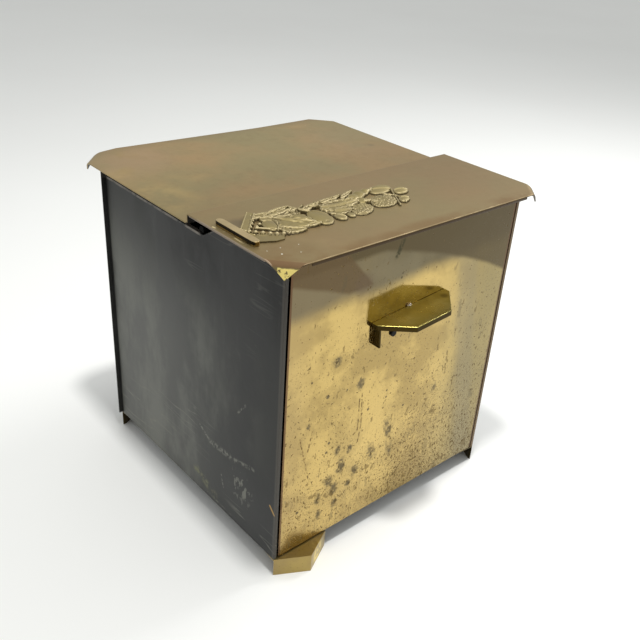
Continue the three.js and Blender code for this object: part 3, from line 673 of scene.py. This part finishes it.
foot_metal, foot_tone, foot_bump, foot_rough = yellow_brass(
    "foot_brass", (0.40, 0.30, 0.105), (0.33, 0.245, 0.105), 0.30)
# Painted shade: the three far feet are painted dark.
far_feet_shade = foot_metal.step(foot_metal.x, 0, 0.01).most(foot_metal.step(foot_metal.y, 0, 0.01))
foot_tone = foot_metal.mix(far_feet_shade * 0.85, foot_tone, (0.045, 0.03, 0.012))
scuffed = foot_metal.mark((-0.118, -0.182, 0.012), 0.017, 0.6) * foot_metal.step(
    foot_metal.grain(120, 3), 0.35, 0.55)
foot_brass = foot_metal.surface(
    base_color=foot_metal.mix(scuffed, foot_tone, (0.78, 0.62, 0.20)), metallic=0.95,
    roughness=foot_rough, normal=foot_bump)
print("yellow brasses:", handle_brass.name, foot_brass.name)

# %% [markdown]
# ## Cast brass of the garland
# A casting is rubbed bright on its high parts, and its hollows hold dark polish and dirt. Height
# alone doesn't tell the two apart, because a groove between two high leaves is dark as well. So
# the mesh of the garland keeps a value for each point, which says how far it stands above its
# neighbours, and the finish reads that value. The foot of the relief, where it meets the lid, is
# painted dark as shade. The bar at its left end is plainer and brighter, and its front end and
# left side are painted darker as shade.

# %% Mix the cast brass
cast = Finish("cast_garland_brass")
worn = cast.node("ShaderNodeAttribute", {"attribute_name": "wear"}, {}, "Fac")
cast_grain = cast.grain(170, 4, 0.6)
cast_cloud = cast.step(cast.grain(28, 3), 0.38, 0.64)
cast_tone = cast.mix(cast_cloud, (0.205, 0.16, 0.070), (0.25, 0.197, 0.078))
cast_tone = cast.mix(cast.step(worn, 0.54, 0.80) * 0.75, cast_tone, (0.43, 0.355, 0.20))
cast_tone = cast.mix((1 - cast.step(worn, 0.08, 0.46)) * 0.9, cast_tone, (0.05, 0.035, 0.013))
# Painted shade: the foot of the relief, where it meets the lid, is painted dark.
ground_shade = 1 - cast.step(cast.z, 0.4024, 0.4030)
cast_tone = cast.mix(ground_shade * 0.85, cast_tone, (0.10, 0.075, 0.04))
cast_tone = cast.mix(cast.step(cast_grain, 0.52, 0.75) * 0.2, cast_tone, (0.22, 0.17, 0.07))
cast_brass = cast.surface(
    base_color=cast_tone, metallic=0.6, roughness=0.56 - cast.step(worn, 0.56, 0.86) * 0.06,
    normal=cast.bump(cast_grain, 0.08 * MM))
print("cast brass:", len(cast.tree.nodes), "nodes")

# %% Mix the brass of the end bar
bar = Finish("end_bar_brass")
bar_cloud = bar.step(bar.grain(45, 3), 0.35, 0.65)
bar_tone = bar.mix(bar_cloud, (0.54, 0.415, 0.215), (0.44, 0.335, 0.17))
# Painted shade: the front end is painted golden brown and the left side near black, by the way
# each face points.
bar_tone = bar.mix(1 - bar.step(bar.backward, -0.8, -0.3), bar_tone, (0.20, 0.125, 0.03))
bar_tone = bar.mix(1 - bar.step(bar.rightward, -0.8, -0.45), bar_tone, (0.012, 0.008, 0.003))
bar_foot = (1 - bar.step(bar.z, 0.4031, 0.4037)) * bar.step(bar.grain(120, 3), 0.35, 0.5)
bar_tone = bar.mix(bar_foot, bar_tone, (0.42, 0.31, 0.12))
bar_brass = bar.surface(
    base_color=bar_tone, metallic=0.85, roughness=0.40, normal=bar.bump(bar_cloud, 0.1 * MM))
print("end bar brass:", len(bar.tree.nodes), "nodes")

# %% [markdown]
# ## Steel of the rods and screws
# The hinge rod, pins, studs, nuts and foot screws are bare steel gone dull, and the two screws of
# the handle are nearly black. They are small or out of sight, so one cloudy noise does for each.

# %% Mix the steels
iron = Finish("dull_steel")
iron_cloud = iron.grain(140, 4, 0.6)
steel = iron.surface(
    base_color=iron.mix(iron.step(iron_cloud, 0.35, 0.7), (0.10, 0.09, 0.08), (0.20, 0.18, 0.15)),
    metallic=0.85, roughness=0.38 + iron_cloud * 0.2, normal=iron.bump(iron_cloud, 0.05 * MM))
screws = Finish("blackened_screw")
screw_cloud = screws.grain(300, 3)
black_screw = screws.surface(
    base_color=screws.mix(screw_cloud, (0.004, 0.004, 0.004), (0.012, 0.011, 0.009)),
    roughness=0.55 + screw_cloud * 0.15, specular_ior_level=0.2)
print("steels:", steel.name, black_screw.name)

# %% [markdown]
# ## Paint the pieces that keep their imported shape
# Rods, pins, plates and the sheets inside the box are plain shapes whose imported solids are
# already right, so they keep them and only get their finish.

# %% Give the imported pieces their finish
COAL_AND_SHADE_PIECES = [
    "base_pan", "top_angle", "bin_trough", "cheek_left", "cheek_right", "deck_rail_left",
    "deck_rail_right", "hinge_plate_left", "hinge_plate_right", "stop_block_left",
    "stop_block_right", "handle_backing_plate", "tie_rod"]
STEEL_PIECES = [
    "hinge_rod", "hinge_knuckle_left", "hinge_knuckle_right", "stop_pin_left", "stop_pin_right",
    "foot_screw_front_left", "foot_screw_front_right", "foot_screw_back_right",
    "foot_screw_back_left", "garland_stud_1", "garland_stud_2", "garland_stud_3",
    "garland_nut_1", "garland_nut_2", "garland_nut_3"]
for material, names in ((coal_and_shade_black, COAL_AND_SHADE_PIECES), (steel, STEEL_PIECES)):
    for name in names:
        node_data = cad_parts[name].data
        node_data.materials.clear()
        node_data.materials.append(material)
print("painted:", len(COAL_AND_SHADE_PIECES) + len(STEEL_PIECES), "packed pieces")

# %% [markdown]
# ## Sheets and bars with rounded edges
# No real edge is perfectly sharp, and the thin bright line along an edge is what makes a sheet
# look like metal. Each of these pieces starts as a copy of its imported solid. Its loose triangles
# are merged, the flat ones are joined to whole faces, and the edges are then bevelled a little.

# %% Finish a mesh as a piece of the object
def bodied(mesh, name, material, body, replaced, crease=32):
    data = bpy.data.meshes.new(name)
    mesh.to_mesh(data)
    mesh.free()
    data.materials.append(material)
    data.shade_smooth()
    data.set_sharp_from_angle(angle=math.radians(crease))
    piece = bpy.data.objects.new(name, data)
    bpy.context.collection.objects.link(piece)
    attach(piece, body)
    if replaced:
        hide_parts(*replaced)
    return piece


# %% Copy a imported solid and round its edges
def even_shading(piece):
    """Let the big flat faces rule the shading, so that the narrow bevels don't bend it."""
    normals = piece.modifiers.new("even", "WEIGHTED_NORMAL")
    normals.keep_sharp = True


def rounded_copy(node, name, material, body, radius, segments=2):
    mesh = bmesh.new()
    mesh.from_mesh(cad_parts[node].data)
    bmesh.ops.remove_doubles(mesh, verts=mesh.verts, dist=0.002 * MM)
    bmesh.ops.dissolve_limit(
        mesh, angle_limit=math.radians(1), verts=mesh.verts, edges=mesh.edges)
    sharp = [edge for edge in mesh.edges
             if len(edge.link_faces) == 2 and edge.calc_face_angle() > math.radians(30)]
    bmesh.ops.bevel(
        mesh, geom=sharp, offset=radius, offset_type="OFFSET", segments=segments, profile=0.5,
        affect="EDGES", clamp_overlap=True, material=-1)
    piece = bodied(mesh, name, material, body, [node])
    even_shading(piece)
    return piece


for side in ("left", "right"):
    rounded_copy(f"side_panel_{side}", f"iron_side_{side}", black_iron, "carcass",
                 0.4 * MM)
rounded_copy("back_panel", "iron_back", black_iron, "carcass", 0.4 * MM)
rounded_copy("front_panel", "brass_front", front_brass, "bin", 0.3 * MM)
for corner in ("front_left", "front_right", "back_right", "back_left"):
    rounded_copy(f"foot_{corner}", f"brass_foot_{corner}", foot_brass, "carcass",
                 0.35 * MM)
rounded_copy("handle_plate", "pull_plate", handle_brass, "bin", 0.8 * MM, 3)
for side in ("left", "right"):
    rounded_copy(f"handle_leg_{side}", f"pull_leg_{side}", handle_brass, "bin",
                 0.4 * MM)
    rounded_copy(f"handle_screw_{side}", f"pull_screw_{side}", black_screw, "bin",
                 0.6 * MM)

# %% [markdown]
# ## The bent sheets of the top
# The lid over the bin and the deck behind it are flat sheets whose outer corners are hammered down
# in a soft bend, so that they don't catch a hand. A grid is cut along each bend with bisect_plane,
# which leaves clean edges exactly where the metal turns, and what lies past the bend is then
# turned about a round of a few millimetres. The back of the lid is bent down in the same way, as
# the step. The left part of the deck has sprung up at the back, and stays within its packed depth.

# %% Bend a sheet along a line
def bend(mesh, start, toward, radius, angle, cuts=6):
    start, toward = Vector(start), Vector(toward).normalized()
    arc = radius * angle
    for cut in range(cuts + 1):
        bmesh.ops.bisect_plane(
            mesh, geom=mesh.verts[:] + mesh.edges[:] + mesh.faces[:], dist=0.001 * MM,
            plane_co=start + toward * (arc * cut / cuts), plane_no=toward)
    for vert in mesh.verts:
        past = (vert.co - start).dot(toward)
        if past > 0:
            turn = min(past, arc) / radius
            rest = max(past - arc, 0)
            reach = radius * math.sin(turn) + rest * math.cos(angle)
            drop = radius * (1 - math.cos(turn)) + rest * math.sin(angle)
            vert.co += toward * (reach - past) - Vector((0, 0, drop))


# %% Cut and bend the lid
HALF_TOP = -cad_low.x
TAB = 28 * MM
TAB_BEND, TAB_ANGLE = 9 * MM, math.radians(68)


def top_sheet(y_range, level, tab_side, step=0):
    mesh = bmesh.new()
    bmesh.ops.create_grid(mesh, x_segments=24, y_segments=12, size=0.5)
    bmesh.ops.scale(mesh, vec=(HALF_TOP * 2, y_range[1] - y_range[0] + step, 1), verts=mesh.verts)
    bmesh.ops.translate(
        mesh, vec=(0, (y_range[0] + y_range[1] + step) / 2, level), verts=mesh.verts)
    outer = y_range[0] if tab_side < 0 else y_range[1]
    for side in (-1, 1):
        fold = Vector((side * (HALF_TOP - TAB / 2), outer - tab_side * TAB / 2, level))
        bend(mesh, fold, (side, tab_side, 0), TAB_BEND, TAB_ANGLE)
    return mesh


RISER, RISER_BEND = 9.0 * MM, 2.5 * MM
lid = top_sheet((cad_low.y + 19 * MM, -0.031), LID, -1, RISER)
bend(lid, (0, -0.0335, LID), (0, 1, 0), RISER_BEND, math.pi / 2)
lid_piece = bodied(lid, "brass_lid", top_brass, "bin", ["front_top"])

# %% Spring the back of the deck up
SPRING_START, SPRING_DEPTH = 0.02, 0.1885
SPRING_RISE, SPRING_FALL = 0.045, 0.22
SPRING_HEIGHT, DECK_BACK = 4.5 * MM, 208.2 * MM
deck_sheet = top_sheet((-0.0307, cad_high.y), DECK, 1)
for vert in deck_sheet.verts:
    back = max(vert.co.y - SPRING_START, 0) / SPRING_DEPTH
    inward = vert.co.x + HALF_TOP
    sprung = min(inward / SPRING_RISE, 1) * min(
        max(1 - (inward - SPRING_RISE) / SPRING_FALL, 0), 1)
    vert.co.z += SPRING_HEIGHT * back ** 1.5 * max(sprung, 0)
    vert.co.y = min(vert.co.y, DECK_BACK)
deck_piece = bodied(
    deck_sheet, "brass_deck", deck_brass, "carcass", ["rear_deck"])
print("bent sheets:", len(lid_piece.data.polygons), len(deck_piece.data.polygons), "faces")

# %% Give both sheets their thickness
SHEET = 1.5 * MM
for piece in (lid_piece, deck_piece):
    piece.data.materials.append(under_shaded_brass)
    wall = piece.modifiers.new("wall", "SOLIDIFY")
    wall.thickness, wall.offset, wall.material_offset = SHEET, -1, 1
    edge = piece.modifiers.new("edge", "BEVEL")
    edge.width, edge.segments, edge.limit_method = 0.35 * MM, 2, "ANGLE"
    edge.angle_limit = math.radians(50)
    even_shading(piece)
print("sheets:", round(SHEET / MM, 1), "mm thick")

# %% [markdown]
# ## The hem of the lid
# The edges of the lid are turned under. The brass of the hem is painted dark, as painted shade for
# the dark line below the front and sides, and the outer sides of the side strips are lighter. The
# sheet could be bent round once more, but only the outside of the fold is ever seen, so three thin
# strips with rounded edges do, written in millimetres as a middle and a size.

# %% Mix the brass of the hem, painted dark as shade
hem = Finish("hem_shaded_brass")
hem_grain = hem.grain(60, 4, 0.6)
# Painted shade: the hem brass is a near black brown.
hem_shade_tone = hem.mix(hem_grain, (0.045, 0.026, 0.010), (0.085, 0.052, 0.022))
hem_shade_tone = hem.mix(hem.step(hem.x.size(), 0.1905, 0.191) * 0.8, hem_shade_tone, (0.30, 0.24, 0.19))
hem_shaded_brass = hem.surface(base_color=hem_shade_tone, metallic=0.6, roughness=0.45 + hem_grain * 0.1)
print("hem brass:", len(hem.tree.nodes), "nodes")

# %% Fold the hem under the lid
HEM_STRIPS = [
    ((0, -188.7, 398.9), (320, 1.6, 2.9)), ((-192.2, -98, 399.75), (1.6, 126, 1.2)),
    ((192.2, -98, 399.75), (1.6, 126, 1.2))]
hems = bmesh.new()
for centre, size in HEM_STRIPS:
    strip = bmesh.ops.create_cube(hems, size=MM)["verts"]
    bmesh.ops.scale(hems, vec=size, verts=strip)
    bmesh.ops.translate(hems, vec=Vector(centre) * MM, verts=strip)
bmesh.ops.bevel(
    hems, geom=hems.edges[:], offset=0.4 * MM, offset_type="OFFSET", segments=2, profile=0.5,
    affect="EDGES", clamp_overlap=True, material=-1)
bodied(hems, "lid_hem", hem_shaded_brass, "bin", [])
print("hem strips:", len(HEM_STRIPS))

# %% [markdown]
# ## The cast garland
# Along the front of the lid lies a cast relief of leaves, pods and fruit, with a strap and a row
# of pearls at its left. The pieces could be modelled one by one, but a casting is one skin over
# all of them, with a groove where two shapes meet. So the shapes are written here as heights over
# the lid, in millimetres, the highest wins at every place, and a fine grid is lifted to that
# height. Each shape is laid out with two slanting half axes, because the leaves are skewed.

# %% Write pods and leaves as heights
SKIRT = 0.6


def oblique(origin, first, second):
    """Turn a place on the lid into shares of two slanting axes."""
    area = first[0] * second[1] - first[1] * second[0]

    def shares(x, y):
        dx, dy = x - origin[0], y - origin[1]
        return (dx * second[1] - dy * second[0]) / area, (first[0] * dy - first[1] * dx) / area
    return shares


def pod(centre, first, second, height, groove=None, seeds=0.0):
    shares = oblique(centre, first, second)

    def lift(x, y):
        p, q = shares(x, y)
        apart = p * p + q * q
        if apart >= 1:
            return SKIRT if apart < 1 + 1.2 / reach else 0
        level = height * (0.25 + 0.75 * (1 - apart) ** 0.5)
        if groove is not None:
            level -= 1.5 * math.exp(-((q - groove) / 0.13) ** 2)
        if seeds:
            level += seeds * (0.45 - noise.voronoi(Vector((x, y, 0)) * 0.40)[0][0]) * 3
        return max(level, SKIRT)
    reach = max(map(abs, (*first, *second)))
    return lift, centre, reach * 2.4


def leaf(base, tip, half, height, ribs=0, slant=0.0, bow=0.0):
    shares = oblique(base, (tip[0] - base[0], tip[1] - base[1]), half)

    def lift(x, y):
        t, across = shares(x, y)
        if not 0 < t < 1:
            return 0
        spread = 0.05 + math.sin(math.pi * t ** 0.8) ** 0.75
        across = (across - bow * 4 * t * (1 - t)) / (spread * (1 + 0.05 * math.cos(t * 38)))
        edge = 1 - abs(across)
        if edge <= 0:
            return SKIRT if edge > -0.12 else 0
        level = height * (0.66 + 0.34 * (1 - across * across)) * min(edge * 9, 1) ** 0.5
        if ribs:
            level += 0.75 * math.cos(math.pi * (ribs * across + slant * t)) - 0.3
        else:
            level += 0.7 * math.exp(-(across / 0.10) ** 2) - 0.9 * math.exp(
                -((abs(across) - 0.26) / 0.13) ** 2)
            level += 0.16 * math.cos(2 * math.pi * (t * 5 - abs(across) * 1.3)) * edge
        return max(level, SKIRT)
    middle = ((base[0] + tip[0]) / 2, (base[1] + tip[1]) / 2)
    reach = max(abs(tip[0] - base[0]), abs(tip[1] - base[1])) / 2 + max(map(abs, half)) * 1.3
    return lift, middle, reach


# %% Write ribbons and the strap as heights
def ribbon(points, width, height):
    lines = list(zip(points, points[1:]))

    def lift(x, y):
        nearest = width * 2
        for (ax, ay), (bx, by) in lines:
            run = (bx - ax) ** 2 + (by - ay) ** 2
            share = min(max(((x - ax) * (bx - ax) + (y - ay) * (by - ay)) / run, 0), 1)
            nearest = min(nearest, math.hypot(
                x - ax - share * (bx - ax), y - ay - share * (by - ay)))
        if nearest >= width / 2:
            return SKIRT if nearest < width / 2 + 0.8 else 0
        return height * (1 - (2 * nearest / width) ** 2) ** 0.4
    xs, ys = zip(*points)
    middle = ((min(xs) + max(xs)) / 2, (min(ys) + max(ys)) / 2)
    return lift, middle, max(max(xs) - min(xs), max(ys) - min(ys)) / 2 + width


def strap(start, end, half, height, rim):
    shares = oblique(start, (end[0] - start[0], end[1] - start[1]), half)

    def lift(x, y):
        t, across = shares(x, y)
        if not 0 < t < 1 or abs(across) > 1:
            return 0
        return height + (rim if abs(across) > 0.66 else 0)
    middle = ((start[0] + end[0]) / 2, (start[1] + end[1]) / 2)
    return lift, middle, max(abs(end[0] - start[0]), abs(end[1] - start[1])) / 2 + 6


print("relief shapes ready")

# %% Lay out the left half of the garland
PETAL = (1.5, 1.9)
shapes = [
    strap((-143, -71), (-174, -104), (2.6, -4.2), 3.4, 0.7),
    strap((-177, -120), (-148, -134), (5.5, 7.0), 1.3, 0.3),
    strap((-176, -99), (-170, -117), (3.0, -1.5), 1.4, 0.2),
    pod((-143, -104), (4.5, -8.5), (7.5, 9.5), 4.0),
    ribbon([(-149, -84), (-139, -86), (-131, -94), (-134, -106), (-144, -118)], 2.2, 3.7),
    ribbon([(-160, -103), (-152, -110), (-140, -119), (-133, -118), (-132, -125), (-140, -130)],
           2.4, 3.2),
    pod((-147, -81), (2.6, 0), (0, 2.6), 4.6), pod((-153, -87), (2.8, 0), (0, 2.4), 4.4),
    pod((-158, -93), (2.4, 0), (0, 2.8), 4.5), pod((-164, -99), (2.8, 0), (0, 2.4), 4.2),
    pod((-151, -97), (2.2, 0), (0, 2.2), 3.6), pod((-157, -101), (2.2, 0), (0, 2.0), 3.4),
    leaf((-148, -77), (-120, -81), (3.6, 5.0), 3.4),
    leaf((-138, -84), (-98, -76), (4.2, 6.2), 3.8, bow=0.25),
    leaf((-145, -88), (-97, -82), (6.5, 9.5), 4.2, bow=-0.55),
    leaf((-137, -92), (-100, -98), (7.0, 9.5), 3.9, bow=-0.2),
    leaf((-133, -93), (-101, -125), (15, 14), 4.3),
    leaf((-140, -112), (-117, -131), (6.0, 7.5), 3.3, bow=-0.2),
    leaf((-122, -105), (-99, -129), (6.0, 7.5), 3.7),
    pod((-87, -114), (7.4, -13), (10, 14), 4.0, groove=0.55),
    pod((-97, -126), (2.6, 0), (0, 2.6), 3.4), pod((-89, -128), (2.6, 0), (0, 2.4), 3.2),
    pod((-103, -116), (4, -5), (4.5, 6), 3.4),
]
for x, y in ((-170, -106), (-166, -111), (-161, -116), (-156, -121), (-151, -125), (-145, -128)):
    shapes.append(pod((x, y), (2.5, 0), (0, 2.5), 4.0))
for tip in ((-88, -75), (-101, -77), (-82, -82), (-110, -88), (-104, -97), (-88, -99)):
    shapes.append(leaf((-97, -89), tip, PETAL, 4.9))
print("left half:", len(shapes), "shapes")

# %% Lay out the right half of the garland
shapes += [
    leaf((-92, -90), (-62, -84), (4.0, 5.6), 3.7), leaf((-70, -84), (-38, -80), (3.0, 4.2), 3.2),
    leaf((-74, -97), (-24, -104), (10.5, 13.5), 4.4, ribs=3),
    leaf((-72, -106), (-44, -118), (6.5, 8.5), 3.9, ribs=2),
    leaf((-66, -92), (-24, -95), (4.5, 6.0), 4.0),
    leaf((-46, -82), (-28, -79), (2.6, 3.6), 3.4), leaf((-34, -85), (-8, -76), (4.0, 5.2), 3.8),
    leaf((-34, -94), (14, -84), (6.5, 9.0), 4.6, ribs=1.2, slant=7.5),
    pod((-68, -124), (4.6, -6.0), (4.8, 6.4), 3.5, groove=0.1),
    pod((-55, -126), (3.2, -3.6), (3.4, 4.4), 3.0),
    pod((-34, -120), (11.5, -5.6), (11, 11.5), 3.7, seeds=0.5),
    pod((2, -115), (12.5, -9), (13.5, 12), 3.8, seeds=0.5),
    pod((-17, -103), (6, -4), (5, 6), 3.4),
    pod((23, -88), (12, -5.5), (11, 9.6), 4.4, groove=-0.15),
    pod((42, -102), (8, -4), (7.2, 8.0), 4.1, groove=0.0),
    pod((27, -122), (6, -3), (6.4, 7.2), 3.7, groove=0.1),
    ribbon([(35, -93), (26, -107), (14, -126), (10, -133)], 1.7, 3.2),
    ribbon([(16, -100), (26, -112), (22, -130)], 1.6, 2.8),
]
for middle, tips in [
        ((-71, -93), ((-68, -80), (-57, -81), (-82, -87), (-76, -104), (-60, -97))),
        ((-46, -108), ((-38, -101), (-38, -112), (-50, -117))),
        ((-13, -110), ((-6, -102), (-8, -118), (-18, -121), (-20, -106)))]:
    for tip in tips:
        shapes.append(leaf(middle, tip, PETAL, 4.7))
print("whole garland:", len(shapes), "shapes")

# %% Lift a grid over the shapes
CELL = 0.62
LEFT, NEAR = -180, -137
WIDE, DEEP = 232, 68
HIGHEST = 4.95
GROOVE_REACH, GROOVE_CUT = 0.7, 1.4
relief = bmesh.new()
bmesh.ops.create_grid(
    relief, x_segments=round(WIDE / CELL), y_segments=round(DEEP / CELL), size=0.5)
for vert in relief.verts:
    x, y = LEFT + (vert.co.x + 0.5) * WIDE, NEAR + (vert.co.y + 0.5) * DEEP
    level, second = 0, 0
    for lift, (cx, cy), reach in shapes:
        if abs(x - cx) < reach and abs(y - cy) < reach:
            here = lift(x, y)
            level, second = max(level, here), max(second, min(level, here))
    if second > SKIRT:
        level -= max(GROOVE_REACH - (level - second), 0) * GROOVE_CUT
    vert.co = Vector((x, y, min(level, HIGHEST)))
bmesh.ops.delete(
    relief, geom=[vert for vert in relief.verts if vert.co.z == 0], context="VERTS")
bmesh.ops.delete(
    relief, geom=[vert for vert in relief.verts if not vert.link_faces], context="VERTS")
print("relief:", len(relief.verts), "points")

# %% Note the ridges and hollows
SMOOTHING_ROUNDS, WEAR_GAIN = 4, 0.9
wear = relief.verts.layers.float.new("wear")
levels = {vert: vert.co.z for vert in relief.verts}
smoothed = levels
for _ in range(SMOOTHING_ROUNDS):
    smoothed = {vert: sum(smoothed[edge.other_vert(vert)] for edge in vert.link_edges) / len(
        vert.link_edges) for vert in smoothed}
for vert in relief.verts:
    vert[wear] = 0.5 + (levels[vert] - smoothed[vert]) * WEAR_GAIN
wear_values = [vert[wear] for vert in relief.verts]
print("wear from", round(min(wear_values), 2), "to", round(max(wear_values), 2))

# %% Close the casting and fit the end bar
BAR_MIDDLE, BAR_SHARE = -0.186, 0.75
extruded = bmesh.ops.extrude_face_region(relief, geom=relief.faces[:])["geom"]
lower = [item for item in extruded if isinstance(item, bmesh.types.BMVert)]
for vert in lower:
    vert.co.z = 0
for vert in relief.verts:
    vert.co = Vector((vert.co.x * MM, vert.co.y * MM, LID + vert.co.z * MM))
bmesh.ops.recalc_face_normals(relief, faces=relief.faces)
garland = bodied(relief, "cast_garland", cast_brass, "bin", ["garland_casting"], 80)
end_bar = rounded_copy(
    "garland_bar", "garland_end_bar", bar_brass, "bin", 0.8 * MM, 3)
for vert in end_bar.data.vertices:
    vert.co.x = BAR_MIDDLE + (vert.co.x - BAR_MIDDLE) * BAR_SHARE
print("garland:", len(garland.data.polygons), "faces")

# %% [markdown]
# ## Solder on the handle
# The pull plate is held to the front by its legs and by a blob of solder in the middle of the
# joint. A small flattened sphere, made uneven with noise, is enough for it.

# %% Drop the solder
SOLDER_PLACE, SOLDER_HALF = (0.8 * MM, -171.6 * MM, 301.2 * MM), (3.6 * MM, 2.0 * MM, 1.9 * MM)
solder_finish = Finish("bright_solder")
solder_tone = solder_finish.mix(
    solder_finish.grain(700, 3), (0.75, 0.66, 0.58), (0.42, 0.36, 0.28))
solder_metal = solder_finish.surface(base_color=solder_tone, metallic=1.0, roughness=0.25)
solder = bmesh.new()
bmesh.ops.create_icosphere(solder, subdivisions=4, radius=1)
for vert in solder.verts:
    vert.co *= 1 + 0.3 * noise.noise(vert.co * 1.7)
bmesh.ops.scale(solder, vec=SOLDER_HALF, verts=solder.verts)
bmesh.ops.translate(solder, vec=SOLDER_PLACE, verts=solder.verts)
blob = bodied(solder, "pull_solder", solder_metal, "bin", [])
print("solder:", len(blob.data.polygons), "faces")
